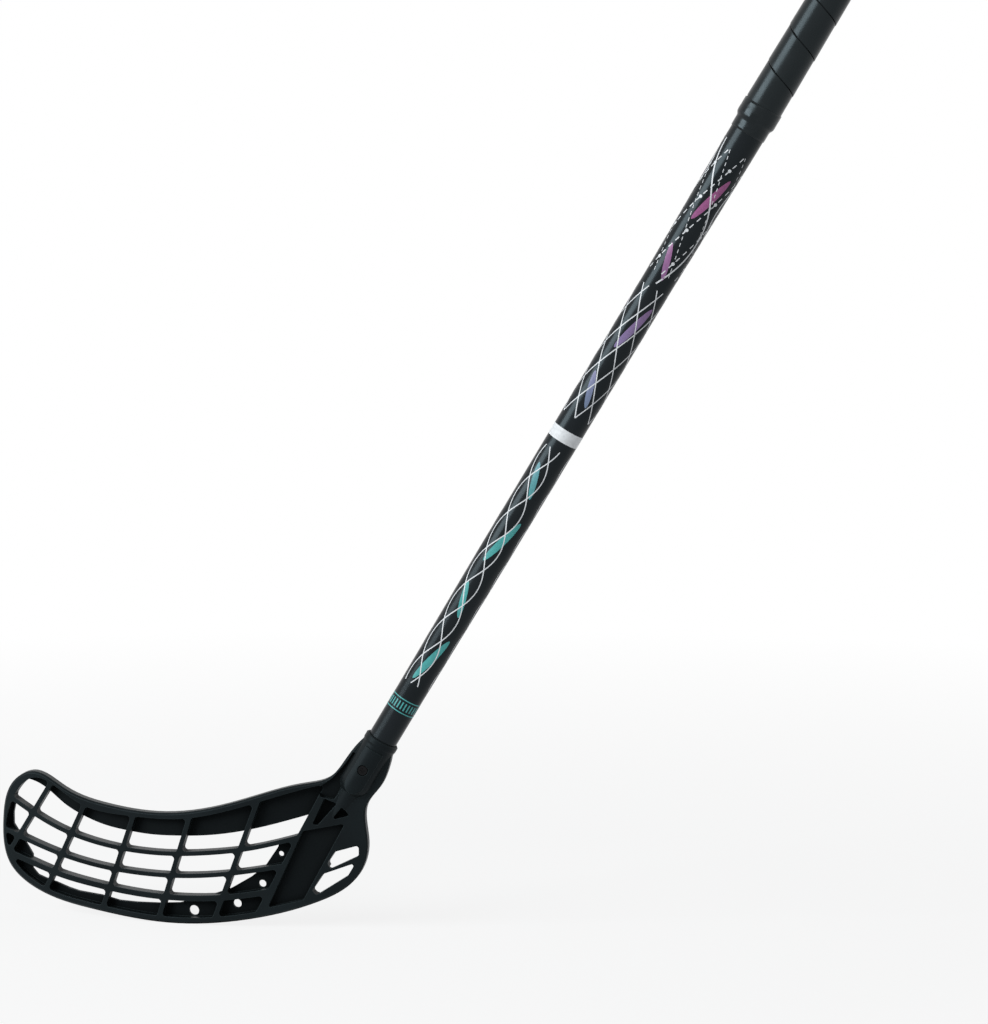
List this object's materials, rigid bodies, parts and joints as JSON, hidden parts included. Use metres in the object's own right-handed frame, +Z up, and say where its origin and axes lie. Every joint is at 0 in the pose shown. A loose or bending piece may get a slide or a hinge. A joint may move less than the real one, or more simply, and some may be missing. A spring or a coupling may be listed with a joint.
{
  "type": "floorball stick",
  "caption": "Floorball stick: hooked grid blade on a socketed neck, tapered hollow shaft, spirally taped grip with a finishing band and rubber end knob; for carrying and hitting a light ball.",
  "frame": {"origin": "hold point of the upper hand, on the shaft axis inside the grip", "axes": "playing stance: X from the toe of the blade towards the heel and up the lean of the shaft, Z up with the sole lowest, Y across the blade with the toe hooked towards +Y"},
  "size_m": [0.8097, 0.0657, 0.9753],
  "materials": {
    "shaft_lacquer": "satin black lacquer over fibre composite, with thin printed rings",
    "blade_plastic": "satin moulded plastic with a fine grain",
    "screw_steel": "plated steel",
    "grip_rubber": "soft smooth grip foam with a satin skin",
    "band_film": "stretched glossy film tape",
    "knob_rubber": "moulded rubber"
  },
  "bodies": {
    "root": {"shaft": "shaft_lacquer", "blade": "blade_plastic", "blade_screws": "screw_steel", "grip_tape": "grip_rubber", "grip_finishing_band": "band_film", "end_knob": "knob_rubber"}
  },
  "joints": []
}
